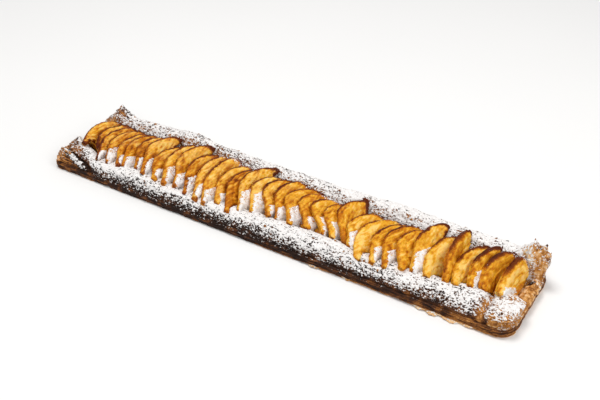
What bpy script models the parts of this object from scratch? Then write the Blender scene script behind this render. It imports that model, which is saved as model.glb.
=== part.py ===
"""A long puff-pastry apple tart.

A flat pastry base carries a raised pastry strip along each long side. Between the strips lies a thin bed
of apple filling, and on it a row of apple slices stands across the tart, leaning to the left like fallen
dominoes, with their front ends turned more upright. A few slices stand proud.

Units are metres, +Z is up, +X runs along the tart and +Y points to its back. Places along the tart are
given as a distance from its left end, and places across it as a distance from the front or the back edge.
"""
import functools
import math
import random

import bmesh
import bpy

CM = 0.01
MM = 0.001

# ---- the whole tart ----
LENGTH = 54.1 * CM
WIDTH = 10.4 * CM
SEED = 11
GAP = 0.3 * MM                      # between pieces that touch
CLOSEST = 0.35                      # least distance from an even section to a named one, share of the pitch

# ---- unevenness of the puffed pastry ----
PUFF = 1.1 * MM
PUFF_WAVES = ((13.0 * CM, 0.4), (6.1 * CM, 0.8), (3.3 * CM, 1.0), (1.9 * CM, 0.6))
PUFF_PHASES = {"base": 1.3, "lip": 2.0, "front": 0.0, "back": 1.9}
PUFF_SHIFT = 7.0 * MM               # how far the unevenness drifts from one line of a strip to the next
PUFF_TURN = 0.7

# ---- pastry base ----
BASE_TOP = 8.0 * MM
BASE_PITCH = 24.0 * MM              # spacing of the sections along the base
BASE_ROUND = 3.0 * MM               # length over which the foot draws in at either end
LEFT_SECTIONS = (2.5 * MM, 5.0 * MM)            # extra sections in the rounded corners
RIGHT_SECTIONS = (2.5 * MM, 5.0 * MM, 9.0 * MM)
BASE_FOOT_INSET = 1.6 * MM          # the rounded lower edge
BASE_BULGE = 1.2 * MM               # how far the side bulges past its top edge
BASE_WIDEST = 0.4                   # share of the height at which the side bulges most
LIP_START = 53.0 * CM               # the bare raised lip at the right end
LIP_PEAK = 53.55 * CM
LIP_HEIGHT = 6.5 * MM
LIP_FALL = 0.55                     # share of its height that the lip loses to the very end
LIP_PROFILE = (0.8, 1.0, 0.92, 1.0, 0.75)       # its height across the tart, front to back
LIP_WAVE = 0.15
LIP_CLEARANCE = 0.5 * MM            # between the lip and the strips' feet
CORNER_RADII = {"left": 7.0 * MM, "right": 16.0 * MM}

# ---- pastry strips: (distance from the left end, value), both in centimetres ----
FRONT_CREST_HEIGHT = ((0, 1.25), (0.35, 2.1), (0.8, 2.5), (1.6, 2.35), (4.5, 1.85), (7, 1.75), (10, 1.95),
                      (13, 1.95), (18, 1.7), (24, 1.75), (29, 1.95), (36, 2.0), (42, 1.85), (47, 2.05),
                      (49.4, 2.25), (50.5, 2.1), (51.3, 1.4), (52.2, 2.05), (53.2, 2.1), (53.8, 1.7),
                      (54.1, 1.15))
FRONT_CREST_PLACE = ((0, 2.5), (0.35, 3.0), (0.8, 3.4), (2.4, 2.2), (4.5, 1.2), (7, 0.95), (10, 1.1),
                     (18, 0.8), (24, 0.85), (29, 1.2), (36, 1.4), (42, 1.25), (47, 1.5), (50.5, 1.9),
                     (51.3, 1.7), (52.2, 2.5), (53.2, 2.8), (54.1, 2.7))
FRONT_FOOT_PLACE = ((0, 3.6), (0.8, 4.1), (2.4, 3.5), (5, 2.9), (9, 2.8), (18, 2.6), (24, 2.8), (29, 3.1),
                    (43, 3.2), (50.6, 3.6), (52.1, 4.1), (53.2, 4.2), (54.1, 3.9))
BACK_CREST_HEIGHT = ((0, 1.3), (0.5, 2.2), (1.2, 2.8), (1.9, 3.35), (2.6, 4.45), (3.3, 3.6), (4.3, 3.05),
                     (8, 3.2), (13, 3.7), (18, 3.15), (24, 3.0), (31, 3.05), (35, 3.2), (39.5, 3.65),
                     (43, 3.25), (48, 3.3), (51.2, 3.2), (51.7, 3.6), (52.3, 4.65), (52.75, 4.0),
                     (53.2, 4.3), (53.6, 3.6), (53.85, 3.85), (54.1, 2.6))
BACK_CREST_PLACE = ((0, 1.6), (2.6, 1.1), (4.3, 1.3), (13, 1.5), (24, 1.35), (39.5, 1.5), (51.2, 1.3),
                    (52.3, 0.9), (54.1, 1.0))
BACK_FOOT_PLACE = ((0, 2.8), (4.3, 2.7), (13, 3.0), (24, 2.75), (39.5, 3.0), (51.2, 2.8), (54.1, 2.3))
BACK_PEAKS = ((2.6, 0.9), (52.3, 0.45), (53.2, 0.35), (53.85, 0.2))     # sharp tips: (place, half width)
STRIP_OUTER_POWER = 2.4             # above 2 the outer flank is blunt, near 1 it is a straight slope
STRIP_INNER_POWER = 2.0
FAN_LENGTH = 5.0 * CM               # the front strip opens into a sloping fan over its first stretch
FAN_POWER = 1.25
PEAK_POWER = 1.1
OUTER_POINTS = 5                    # points of a strip's section on each flank
INNER_POINTS = 4
STRIP_PITCH = 14.0 * MM             # spacing of the sections along a strip
STRIP_SETBACK = 1.5 * MM            # the strips stop short of the base's right end
SHARP_ENDS = (5.0, 50.0)            # outside these places (cm) every named section is kept
CROWN_START = 51.0 * CM             # past here the back strip's layers lean outwards
CROWN_LEAN = 0.11

# ---- apple filling ----
BED_START = 1.1 * CM
BED_END = 52.8 * CM
BED_TOP = 11.0 * MM
BED_INSET = 2.0 * MM                # from the strips' feet
BED_EDGE = ((0.0, 0.0), (0.5 * MM, 0.7), (3.0 * MM, 1.0))      # (in from the side, share of the height)
BED_PITCH = 22.0 * MM

# ---- apple slices ----
SLICE_COUNT = 37
SLICE_FIRST = 3.0 * CM              # where the first and the last slice stand on the bed
SLICE_LAST = 52.2 * CM
SLICE_THICKNESS = (7.2 * MM, 9.0 * MM)
ROW_LEAN = ((0, 34), (5, 47), (9, 50), (34, 50), (43, 44), (48, 36), (52.4, 22))     # cm, degrees
LEAN_SPREAD = 4.0                   # how far a slice strays from that lean, degrees
LEAN_STEP = 3.0                     # most that this changes from one slice to the next, degrees
FRONT_LEAN = (20.0, 34.0)           # the front end stands steeper
TWIST_END = 0.62                    # share of the slice's length over which it turns to its full lean
ROW_YAW = ((0, 0), (20, 1), (32, 4), (42, 9), (52.4, 10))       # cm, degrees: back ends to the right
YAW_SPREAD = 3.0
ROW_HEIGHT = ((0, 2.5), (4, 2.75), (9, 2.9), (16, 2.95), (32, 2.95), (42, 2.9), (48, 3.0), (54.1, 3.1))
CROWN_SPREAD = 1.5 * MM             # how far the round backs stray from the row's height
LEAST_BULGE = 3.0 * MM              # rise of a slice's back over the line between its tips
BACK_ROUNDNESS = (2.1, 0.85)        # powers of that rise: along the slice, and of the whole
CROWN_BIAS = (1.1, 1.6)             # above 1 the highest point lies behind the middle
LEAST_HEIGHT = 2.9 * MM             # of any section of a slice
FRONT_BOW = (3.0 * MM, 7.0 * MM)    # how far the ends curve to the right of the middle
BACK_BOW = (7.0 * MM, 11.0 * MM)
LAST_BOW = 0.5 * MM                 # the last slice keeps clear of the lip
SLICE_PRESS = 1.0 * MM              # clearance to the pastry below
SLICE_MARGIN = 2.0 * MM             # how far past its sides a slice minds the pastry
TROUGH_SAMPLES = 6
SLICE_TIP = 3.6 * MM                # height of a slice at its front tip, and of a proud one at either
BACK_TIP = 9.5 * MM                 # height of an ordinary slice at its back tip
TIP_DROP = 1.0 * MM                 # an ordinary tip stays this far below the row's height
PROUD_CEILING = 41.0 * MM           # a proud slice's back tip may lie this high
PROUD_DEPTH = 40.0 * MM             # a proud slice grows higher from its back tip, by this over its length
TIP_SHIFT = 16.0 * MM               # how far left of its foot a tip lies at most
TIP_LEAD = 9.0 * MM                 # how far left of its foot a front tip lies
FRONT_THINNING = 0.35               # share of the thickness that the front tips lose
BACK_THINNING = {False: 0.12, True: 0.45}      # the same of an ordinary and of a proud back tip
ROW_OVERHANG = ((0, -0.1), (7, -0.1), (10, 0.4), (16, 0.1), (22, 0.1), (26, 1.0), (35, 1.2), (38, -0.4),
                (40.5, -0.3), (41.5, 0.2), (47, 0.0), (50, 1.0), (52, 1.2))
OVERHANG_SPREAD = 3.5 * MM          # front tips, behind the front strip's crest (cm), and how far they stray
ROW_REACH = ((0, 1.2), (9, 1.6), (18, 1.3), (27, 1.4), (36, 1.8), (39, 1.7), (43, 1.2), (49, 1.1), (51, 0.7))
REACH_SPREAD = 2.0 * MM             # back tips, in front of the back strip's crest (cm), and how they stray
SLICE_STATIONS = 11
SLICE_SECTION = ((0.0, -0.8), (0.0, 0.8), (0.45, 1.0), (0.85, 0.95), (1.0, 0.5), (1.0, -0.5), (0.85, -0.95),
                 (0.45, -1.0))      # share of the height, share of the half width
EDGE_SAMPLES = 8                    # checks of the lower edge between two sections
ROW_DEPTH = 30.0 * MM               # neighbours are kept apart up to this height above the bed
ROW_SAMPLES = 30
STANDOUTS = {                       # slices that stand proud: rise, back reach, back bow and thickness
    8: (0.5 * MM, 10.5 * MM, 20.0 * MM, 8.0 * MM),
    11: (0.5 * MM, 9.0 * MM, 21.0 * MM, 8.6 * MM),
    17: (1.0 * MM, 6.5 * MM, 20.0 * MM, 7.6 * MM),
    25: (1.0 * MM, 8.5 * MM, 19.0 * MM, 7.2 * MM),
    31: (0.5 * MM, 6.0 * MM, 10.0 * MM, 7.8 * MM),
    33: (2.0 * MM, 4.5 * MM, 2.0 * MM, 6.4 * MM),
    35: (0.0 * MM, 9.5 * MM, 6.0 * MM, 6.6 * MM),
}

COLOURS = {
    "pastry": ((0.42, 0.20, 0.07), 0.75),
    "filling": ((0.75, 0.38, 0.04), 0.35),
    "apple": ((0.86, 0.52, 0.10), 0.30),
}


# ---- helpers ----
def along(place, table):
    """Smooth value at a distance from the left end, from (distance, value) pairs in centimetres."""
    place_cm = place / CM
    if place_cm <= table[0][0]:
        return table[0][1] * CM
    for (x0, v0), (x1, v1) in zip(table, table[1:]):
        if place_cm <= x1:
            share = (place_cm - x0) / (x1 - x0)
            ease = share * share * (3 - 2 * share)
            return (v0 + (v1 - v0) * ease) * CM
    return table[-1][1] * CM


def to_x(place):
    return place - LENGTH / 2


def places(start, end, pitch, extra=()):
    """Evenly spaced distances from start to end, with the extra ones that a sharp shape needs."""
    count = max(1, round((end - start) / pitch))
    even = [start + (end - start) * i / count for i in range(count + 1)]
    wanted = [p for p in extra if start < p < end]
    kept = [p for p in even if all(abs(p - w) > CLOSEST * pitch for w in wanted)]
    return sorted(set(kept + wanted + [start, end]))


def make_material(name):
    colour, roughness = COLOURS[name]
    material = bpy.data.materials.new(name)
    material.use_nodes = True
    shader = material.node_tree.nodes["Principled BSDF"]
    shader.inputs["Base Color"].default_value = (*colour, 1.0)
    shader.inputs["Roughness"].default_value = roughness
    shader.inputs["Metallic"].default_value = 0.0
    return material


def loft(name, rings, material, collection):
    """One closed solid through rings of equal length, ordered along +X or +Y, with flat ends."""
    model = bmesh.new()
    rows = [[model.verts.new(point) for point in ring] for ring in rings]
    count = len(rows[0])
    for row, following in zip(rows, rows[1:]):
        for i in range(count):
            j = (i + 1) % count
            model.faces.new((row[i], row[j], following[j], following[i]))
    model.faces.new(reversed(rows[0]))
    model.faces.new(rows[-1])
    bmesh.ops.triangulate(model, faces=model.faces)
    bmesh.ops.recalc_face_normals(model, faces=model.faces)
    mesh = bpy.data.meshes.new(name)
    model.to_mesh(mesh)
    model.free()
    mesh.shade_smooth()
    mesh.materials.append(material)
    piece = bpy.data.objects.new(name, mesh)
    collection.objects.link(piece)
    return piece


# ---- pastry outline ----
def edge_inset(place):
    """How far a rounded corner pulls the long edges in, near either end."""
    for radius, distance in ((CORNER_RADII["left"], place), (CORNER_RADII["right"], LENGTH - place)):
        if distance < radius:
            return radius - math.sqrt(max(0.0, radius**2 - (radius - distance) ** 2))
    return 0.0


def puff(place, phase):
    """Gentle unevenness along the pastry, between about -1 and 1."""
    total = 0.0
    for order, (length, weight) in enumerate(PUFF_WAVES, 1):
        total += weight * math.sin(2 * math.pi * place / length + phase * order)
    return total / sum(weight for _, weight in PUFF_WAVES)


def base_ring(place):
    """Section of the base: a flat foot, bulging sides, and a top that rises into the lip at its end."""
    inset = edge_inset(place)
    front = -WIDTH / 2 + inset
    back = WIDTH / 2 - inset
    end_round = min(1.0, min(place, LENGTH - place) / BASE_ROUND)
    foot = BASE_FOOT_INSET * (2 - end_round)
    inner_front = -WIDTH / 2 + along(place, FRONT_FOOT_PLACE)
    inner_back = WIDTH / 2 - along(place, BACK_FOOT_PLACE)
    lip = 0.0
    if place > LIP_START:
        rise = (place - LIP_START) / (LIP_PEAK - LIP_START)
        fall = (place - LIP_PEAK) / (LENGTH - LIP_PEAK)
        lip = LIP_HEIGHT * (math.sin(rise * math.pi / 2) if fall < 0 else 1 - LIP_FALL * fall**2)
    bulge = BASE_BULGE * puff(place, PUFF_PHASES["base"])
    low = inner_front + LIP_CLEARANCE
    high = inner_back - LIP_CLEARANCE
    quarter = (high - low) / 4
    lip_ys = (low + LIP_CLEARANCE, low + quarter, low + 2 * quarter, high - quarter, high - LIP_CLEARANCE)
    lip_heights = [share * lip for share in LIP_PROFILE]
    lip_heights[3] *= 1 + LIP_WAVE * puff(place, PUFF_PHASES["lip"])
    outline = [(front + foot, 0.0), (back - foot, 0.0), (back - bulge, BASE_WIDEST * BASE_TOP),
               (back - BASE_BULGE, BASE_TOP), (high, BASE_TOP)]
    outline += [(y, BASE_TOP + height) for y, height in reversed(list(zip(lip_ys, lip_heights)))]
    outline += [(low, BASE_TOP), (front + BASE_BULGE, BASE_TOP), (front + bulge, BASE_WIDEST * BASE_TOP)]
    return [(to_x(place), y, z) for y, z in outline]


def strip_at(place, side):
    """Edge, crest and foot of a strip's section: y of each, crest height, and the outer flank's power."""
    inset = edge_inset(place)
    if side == "front":
        edge = -WIDTH / 2 + inset + BASE_BULGE
        crest = -WIDTH / 2 + along(place, FRONT_CREST_PLACE)
        foot = -WIDTH / 2 + along(place, FRONT_FOOT_PLACE)
        height = along(place, FRONT_CREST_HEIGHT)
        opening = max(0.0, 1 - place / FAN_LENGTH)
        power = STRIP_OUTER_POWER + (FAN_POWER - STRIP_OUTER_POWER) * opening
    else:
        edge = WIDTH / 2 - inset - BASE_BULGE
        crest = WIDTH / 2 - along(place, BACK_CREST_PLACE)
        foot = WIDTH / 2 - along(place, BACK_FOOT_PLACE)
        height = along(place, BACK_CREST_HEIGHT)
        nearness = max(max(0.0, 1 - abs(place / CM - tip) / half) for tip, half in BACK_PEAKS)
        power = STRIP_OUTER_POWER + (PEAK_POWER - STRIP_OUTER_POWER) * nearness
    return edge, crest, foot, height, power


def flank(share, power):
    """A superellipse: height share at a distance share from the crest to the edge."""
    return (1 - min(1.0, share) ** power) ** (1 / power)


def strip_ring(place, side):
    """Section of a strip, from its foot over the crest to its edge, closed by its flat underside."""
    edge, crest, foot, height, power = strip_at(place, side)
    rise = height - BASE_TOP - GAP
    outline = []
    for i in range(INNER_POINTS):
        angle = math.pi / 2 * i / INNER_POINTS
        share = math.cos(angle)
        outline.append((crest + (foot - crest) * share, rise * flank(share, STRIP_INNER_POWER)))
    for i in range(OUTER_POINTS + 1):
        share = math.sin(math.pi / 2 * i / OUTER_POINTS)
        lump = PUFF * puff(place + PUFF_SHIFT * i, PUFF_TURN * i + PUFF_PHASES[side])
        swell = lump * math.sin(math.pi * (i + 0.5) / (OUTER_POINTS + 1))
        outline.append((crest + (edge - crest) * share, max(0.0, rise * flank(share, power) + swell)))
    outline[0] = (outline[0][0], 0.0)
    outline[-1] = (outline[-1][0], 0.0)
    lean = 0.0
    if side == "back" and place > CROWN_START:
        lean = CROWN_LEAN * (place - CROWN_START) / (LENGTH - CROWN_START)
    ring = [(to_x(place) + lean * z, y, BASE_TOP + GAP + z) for y, z in outline]
    return ring if side == "front" else list(reversed(ring))


@functools.cache
def strip_sections(side):
    """All sections of a strip, each with its distance from the left end."""
    table = FRONT_CREST_HEIGHT if side == "front" else BACK_CREST_HEIGHT
    sharp = [p * CM for p, _ in table if p < SHARP_ENDS[0] or p > SHARP_ENDS[1]]
    stations = places(0.0, LENGTH - STRIP_SETBACK, STRIP_PITCH, sharp)
    return [(place, strip_ring(place, side)) for place in stations]


def section_height(ring, y):
    """Top of one section at y, or the base's top outside it."""
    best = BASE_TOP
    for (_, y0, z0), (_, y1, z1) in zip(ring, ring[1:]):
        if min(y0, y1) <= y <= max(y0, y1) and y0 != y1:
            best = max(best, z0 + (z1 - z0) * (y - y0) / (y1 - y0))
    return best


def strip_height(place, y, side):
    """Top of a strip at any point of the tart."""
    sections = strip_sections(side)
    for (start, left), (end, right) in zip(sections, sections[1:]):
        if start <= place <= end:
            share = (place - start) / (end - start)
            return section_height(left, y) * (1 - share) + section_height(right, y) * share
    return BASE_TOP


def build_base(material, collection):
    extra = [LIP_START, LIP_PEAK, *LEFT_SECTIONS, *(LENGTH - d for d in RIGHT_SECTIONS)]
    stations = places(0.0, LENGTH, BASE_PITCH, extra)
    loft("pastry_base", [base_ring(p) for p in stations], material, collection)


def build_strip(side, material, collection):
    rings = [ring for _, ring in strip_sections(side)]
    loft(f"pastry_strip_{side}", rings, material, collection)


# ---- apple filling ----
def build_bed(material, collection):
    rings = []
    for place in places(BED_START, BED_END, BED_PITCH):
        front = -WIDTH / 2 + along(place, FRONT_FOOT_PLACE) + BED_INSET
        back = WIDTH / 2 - along(place, BACK_FOOT_PLACE) - BED_INSET
        low = BASE_TOP + GAP
        edge = [(inwards, low + (BED_TOP - low) * share) for inwards, share in BED_EDGE]
        outline = [(back - inwards, z) for inwards, z in edge]
        outline += [(front + inwards, z) for inwards, z in reversed(edge)]
        rings.append([(to_x(place), y, z) for y, z in outline])
    loft("apple_filling", rings, material, collection)


# ---- apple slices ----
def trough(start, end, y):
    """Highest top of whatever lies under a slice that reaches from start to end at y."""
    heights = [BED_TOP]
    for i in range(TROUGH_SAMPLES + 1):
        place = start + (end - start) * i / TROUGH_SAMPLES
        place = min(max(place, 0.0), LENGTH)
        heights += [strip_height(place, y, "front"), strip_height(place, y, "back")]
    return max(heights)


class Slice:
    """One apple slice: a twisted half-moon across the tart, its lower edge shaped to the pastry."""

    def __init__(self, number, stray, dice):
        self.number = number
        self.stray = stray
        self.thickness = dice.uniform(*SLICE_THICKNESS)
        self.rise = dice.uniform(-CROWN_SPREAD, CROWN_SPREAD)
        self.turn = dice.uniform(-YAW_SPREAD, YAW_SPREAD)
        self.front_slope = math.tan(math.radians(dice.uniform(*FRONT_LEAN)))
        self.bias = dice.uniform(*CROWN_BIAS)
        self.front_bow = dice.uniform(*FRONT_BOW)
        self.back_bow = dice.uniform(*BACK_BOW) if number < SLICE_COUNT else LAST_BOW
        self.front_share = dice.uniform(0, 1)
        self.back_share = dice.uniform(0, 1)
        self.foot_x = 0.0
        self.proud = number in STANDOUTS
        if self.proud:
            self.rise, self.proud_reach, self.back_bow, self.thickness = STANDOUTS[number]

    def settle(self, place):
        """Stands the slice at a place and finds its tips on the two strips."""
        self.foot_x = to_x(place)
        self.lean = math.radians(along(place, ROW_LEAN) / CM + self.stray)
        self.yaw = math.tan(math.radians(along(place, ROW_YAW) / CM + self.turn))
        overhang = along(place - TIP_LEAD, ROW_OVERHANG) + OVERHANG_SPREAD * (2 * self.front_share - 1)
        reach = along(place, ROW_REACH) + REACH_SPREAD * (2 * self.back_share - 1)
        if self.proud:
            reach = self.proud_reach
        self.front = -WIDTH / 2 + along(place - TIP_LEAD, FRONT_CREST_PLACE) + overhang
        self.back = WIDTH / 2 - along(place, BACK_CREST_PLACE) - reach
        crown = along(place, ROW_HEIGHT) + self.rise
        ceiling = crown - TIP_DROP
        self.front, self.front_z = self.settle_tip(place, self.front, MM, SLICE_TIP, ceiling)
        tip = SLICE_TIP if self.proud else BACK_TIP
        if self.proud:
            ceiling = PROUD_CEILING
        self.back, self.back_z = self.settle_tip(place, self.back, -MM, tip, ceiling)
        self.bulge = max(LEAST_BULGE, crown - (self.front_z + self.back_z) / 2)

    def settle_tip(self, place, y, inward, tip, ceiling):
        """Draws a tip inwards until it lies low enough, and gives its place and height."""
        while True:
            height = trough(place - TIP_SHIFT, place, y) + SLICE_PRESS + tip
            if height <= ceiling:
                return y, height
            y += inward

    def top(self, share):
        chord = self.front_z + (self.back_z - self.front_z) * share
        centred = abs(2 * share ** self.bias - 1)
        return chord + self.bulge * (1 - centred ** BACK_ROUNDNESS[0]) ** BACK_ROUNDNESS[1]

    def slope(self, share):
        """How far the slice leans left for each step up, at a share of its length."""
        full = math.tan(self.lean)
        turned = min(1.0, share / TWIST_END)
        ease = turned * turned * (3 - 2 * turned)
        front = min(self.front_slope, full)
        return front + (full - front) * ease

    def middle_x(self, y, z):
        """Mid-plane of the slice at a height: it leans left, is turned a little, and its ends bow right."""
        centre = (self.front + self.back) / 2
        half = (self.back - self.front) / 2
        bow = (self.front_bow if y < centre else self.back_bow) * ((y - centre) / half) ** 2
        lean = (z - BED_TOP) * self.slope((y - self.front) / (2 * half))
        return self.foot_x - lean + self.yaw * (y - centre) + bow

    def half_width(self, share):
        """Half the slice's width measured along the tart."""
        lost = FRONT_THINNING if share < 0.5 else BACK_THINNING[self.proud]
        thickness = self.thickness * (1 - lost * (2 * share - 1) ** 2)
        return thickness * math.sqrt(1 + self.slope(share) ** 2) / 2

    def span(self, y, z):
        """Where the slice lies along the tart at a point of its outline, or None outside it."""
        share = (y - self.front) / (self.back - self.front)
        if not 0 <= share <= 1 or z > self.top(share) + MM:
            return None
        centre = self.middle_x(y, z)
        return centre - self.half_width(share), centre + self.half_width(share)

    def lowest(self, share):
        """How low the slice may reach at a share of its length, above all that lies below it."""
        y = self.front + (self.back - self.front) * share
        half = self.half_width(share)
        start = self.middle_x(y, self.top(share)) - half - SLICE_MARGIN + LENGTH / 2
        end = self.middle_x(y, BED_TOP) + half + SLICE_MARGIN + LENGTH / 2
        ground = trough(start, end, y) + SLICE_PRESS
        if self.proud:
            return max(ground, self.top(share) - SLICE_TIP - PROUD_DEPTH * (1 - share))
        return ground

    def underside(self, shares):
        """Heights of the lower edge whose straight stretches also clear the round pastry between them."""
        lows = [self.lowest(share) for share in shares]
        for i in range(len(shares) - 1):
            outer, inner = (i, i + 1) if lows[i] > lows[i + 1] else (i + 1, i)
            for j in range(1, EDGE_SAMPLES):
                part = j / EDGE_SAMPLES
                needed = self.lowest(shares[inner] + (shares[outer] - shares[inner]) * part)
                lows[inner] = max(lows[inner], (needed - lows[outer] * part) / (1 - part))
        return lows

    def rings(self):
        last = SLICE_STATIONS - 1
        shares = [(1 - math.cos(math.pi * i / last)) / 2 for i in range(SLICE_STATIONS)]
        result = []
        for share, low in zip(shares, self.underside(shares)):
            y = self.front + (self.back - self.front) * share
            half = self.half_width(share)
            high = max(self.top(share), low + LEAST_HEIGHT)
            ring = []
            for height, side in SLICE_SECTION:
                z = low + (high - low) * height
                ring.append((self.middle_x(y, z) + side * half, y, z))
            result.append(ring)
        return result


def needed_step(left, right):
    """How much further right the second slice must stand so that it just clears the first."""
    step = -LENGTH
    for i in range(ROW_SAMPLES + 1):
        y = right.front + (right.back - right.front) * i / ROW_SAMPLES
        for j in range(ROW_SAMPLES + 1):
            z = BED_TOP + ROW_DEPTH * j / ROW_SAMPLES
            a = left.span(y, z)
            b = right.span(y, z)
            if a and b:
                step = max(step, a[1] - b[0])
    return step


def place_slices():
    """Stands the slices one against the next, then shares the room that is left between them."""
    dice = random.Random(SEED)
    stray = 0.0
    slices = []
    for number in range(1, SLICE_COUNT + 1):
        stray += dice.uniform(-LEAN_STEP, LEAN_STEP)
        stray = min(max(stray, -LEAN_SPREAD), LEAN_SPREAD)
        slices.append(Slice(number, stray, dice))
    even = (SLICE_LAST - SLICE_FIRST) / (SLICE_COUNT - 1)
    for number, item in enumerate(slices):
        item.settle(SLICE_FIRST + even * number)
    tight = [SLICE_FIRST]
    for left, right in zip(slices, slices[1:]):
        spacing = right.foot_x - left.foot_x
        tight.append(tight[-1] + spacing + needed_step(left, right))
    spare = (SLICE_LAST - tight[-1]) / (SLICE_COUNT - 1)
    for number, (item, place) in enumerate(zip(slices, tight)):
        item.settle(place + spare * number)
    return slices


def build_slices(material, collection):
    for item in place_slices():
        loft(f"apple_slice_{item.number:02d}", item.rings(), material, collection)


# ---- the model ----
def centre_on_origin(collection):
    """Moves every piece so that the tart's box is centred over the origin and stands on z = 0."""
    corners = [vertex.co for piece in collection.objects for vertex in piece.data.vertices]
    shift_x = -(min(c.x for c in corners) + max(c.x for c in corners)) / 2
    shift_y = -(min(c.y for c in corners) + max(c.y for c in corners)) / 2
    shift_z = -min(c.z for c in corners)
    for piece in collection.objects:
        piece.location = (shift_x, shift_y, shift_z)


def build_model():
    for item in list(bpy.data.objects):
        bpy.data.objects.remove(item)
    collection = bpy.data.collections.new("apple_tart")
    bpy.context.scene.collection.children.link(collection)
    pastry = make_material("pastry")
    build_base(pastry, collection)
    build_strip("front", pastry, collection)
    build_strip("back", pastry, collection)
    build_bed(make_material("filling"), collection)
    build_slices(make_material("apple"), collection)
    centre_on_origin(collection)


build_model()
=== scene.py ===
"""The looks of a long puff-pastry apple tart, dusted with icing sugar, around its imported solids.

Every solid is replaced by a finer piece of the same shape. Python code carves its relief and stores
what covers each point in mesh attributes (sugar, pit, brown and so on, each from 0 to 1), which the
node materials read. Thin leaves of crust and loose grains are added. Lengths are in metres unless
a comment says mm, +X runs along the tart from its left end, +Z is up.
"""

import math
import random
from contextlib import contextmanager
from itertools import product

import bmesh
import bpy
import numpy as np
from mathutils import Matrix, Vector
from mathutils.bvhtree import BVHTree


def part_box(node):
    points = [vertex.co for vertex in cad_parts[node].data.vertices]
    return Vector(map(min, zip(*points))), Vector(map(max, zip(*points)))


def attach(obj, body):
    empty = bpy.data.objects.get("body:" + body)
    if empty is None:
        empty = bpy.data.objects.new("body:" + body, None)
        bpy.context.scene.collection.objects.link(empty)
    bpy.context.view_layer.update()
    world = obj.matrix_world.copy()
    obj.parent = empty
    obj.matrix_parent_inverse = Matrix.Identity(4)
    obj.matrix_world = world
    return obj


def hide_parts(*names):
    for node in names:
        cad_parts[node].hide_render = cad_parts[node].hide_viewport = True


CM = 0.01
MM = 0.001
SEED = 7

# ---- camera: the photograph's viewing angle ----
CAMERA_PLACE = (0.4152, -0.6374, 0.5576)
CAMERA_DOWN = 35.16  # degrees below the horizon
CAMERA_AZIMUTH = 31.65  # degrees, 0 looks along +Y
CAMERA_LENS = 54.22  # mm
SENSOR_WIDTH = 36  # mm

# ---- lights: place, width, power and colour ----
WHITE = (1, 1, 1)
WARM_WHITE = (1.0, 0.985, 0.96)
LIGHTS = {
    "key": ((-0.25, 0.02, 1.6), 0.7, 13.0, WARM_WHITE),
    "side": ((1.4, -0.1, 1.2), 0.9, 8.0, WARM_WHITE),
    "fill": ((0.6, -1.3, 1.3), 1.2, 4.5, WHITE),
}
SKY_STRENGTH = 0.50

# ---- floor ----
FLOOR_CORNERS = ((-6, -6, 0), (6, -6, 0), (6, 6, 0), (-6, 6, 0))
FLOOR_DROP = 0.3 * MM
FLOOR_GREYS = ((0.88, 0.88, 0.88), (0.91, 0.91, 0.91))

# ---- detail: spacing of the fine meshes, and how often they are softened ----
STRIP_DETAIL = (0.8 * MM, 4)
SLICE_DETAIL = (1.1 * MM, 2)
BED_DETAIL = (1.6 * MM, 2)
LIP_DETAIL = (0.8 * MM, 3)
SOFTENING = 0.5
FLAT_TILE = 8 * MM  # length of the large faces that close a hidden underside
FLAT_NORMAL = -0.99  # a face that looks down by more than this is flat
FLAT_ANGLE = math.radians(2)
SAME_POINT = 0.01 * MM


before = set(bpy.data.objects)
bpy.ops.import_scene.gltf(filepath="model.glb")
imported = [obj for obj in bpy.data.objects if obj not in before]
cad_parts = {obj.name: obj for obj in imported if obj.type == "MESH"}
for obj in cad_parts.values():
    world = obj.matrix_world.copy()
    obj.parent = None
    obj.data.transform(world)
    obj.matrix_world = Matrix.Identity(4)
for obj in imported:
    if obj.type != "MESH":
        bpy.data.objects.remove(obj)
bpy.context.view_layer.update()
(LEFT, FRONT, _), (RIGHT, BACK, _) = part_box("pastry_base")
BASE_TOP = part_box("apple_filling")[0].z - 0.3 * MM
scene = bpy.context.scene


# ---- numbers over points ----
HASH_PRIMES = (374761393, 668265263, 2147483647)
HASH_MIX = 1274126177
WORD = 0xFFFFFFFF
HALF_WORD = 0xFFFF
OCTAVE_SEEDS = 31  # sets the seeds of a noise's layers apart


def smooth(none, full, value):
    """0 at one value, 1 at the other, a soft slope between and level beyond."""
    share = np.clip((value - none) / (full - none), 0, 1)
    return share * share * (3 - 2 * share)


def slope(length, none, full):
    """The same for a length, between two numbers of mm."""
    return smooth(none * MM, full * MM, length)


def bump_at(value, centre, width):
    """1 at the centre, falling to nothing about a width away."""
    return np.exp(-(((value - centre) / width) ** 2))


def weigh(weights, **fields):
    """The sum of the fields that have a weight, each times it. The weight "all" counts as it is."""
    total = 0.0
    for name, weight in weights.items():
        total = total + weight * (1.0 if name == "all" else fields[name])
    return total


def noise(points, size, seed):
    """A smooth random field from -1 to 1, with lumps of about twice the size (mm, or by axis)."""
    grid = points / (np.asarray(size) * MM)
    cell = np.floor(grid)
    part = grid - cell
    part = part * part * part * (part * (part * 6 - 15) + 10)
    cell = cell.astype(np.int64)
    total = np.zeros(len(points))
    for corner in product((0, 1), repeat=3):
        mix = seed * HASH_MIX
        for prime, steps in zip(HASH_PRIMES, (cell + corner).T):
            mix = mix + prime * steps
        mix = mix & WORD
        mix = ((mix ^ (mix >> 13)) * HASH_MIX) & WORD
        value = ((mix ^ (mix >> 16)) & HALF_WORD) / (HALF_WORD / 2) - 1
        weight = np.prod(np.where(corner, part, 1 - part), axis=1)
        total += weight * value
    return total


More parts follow.
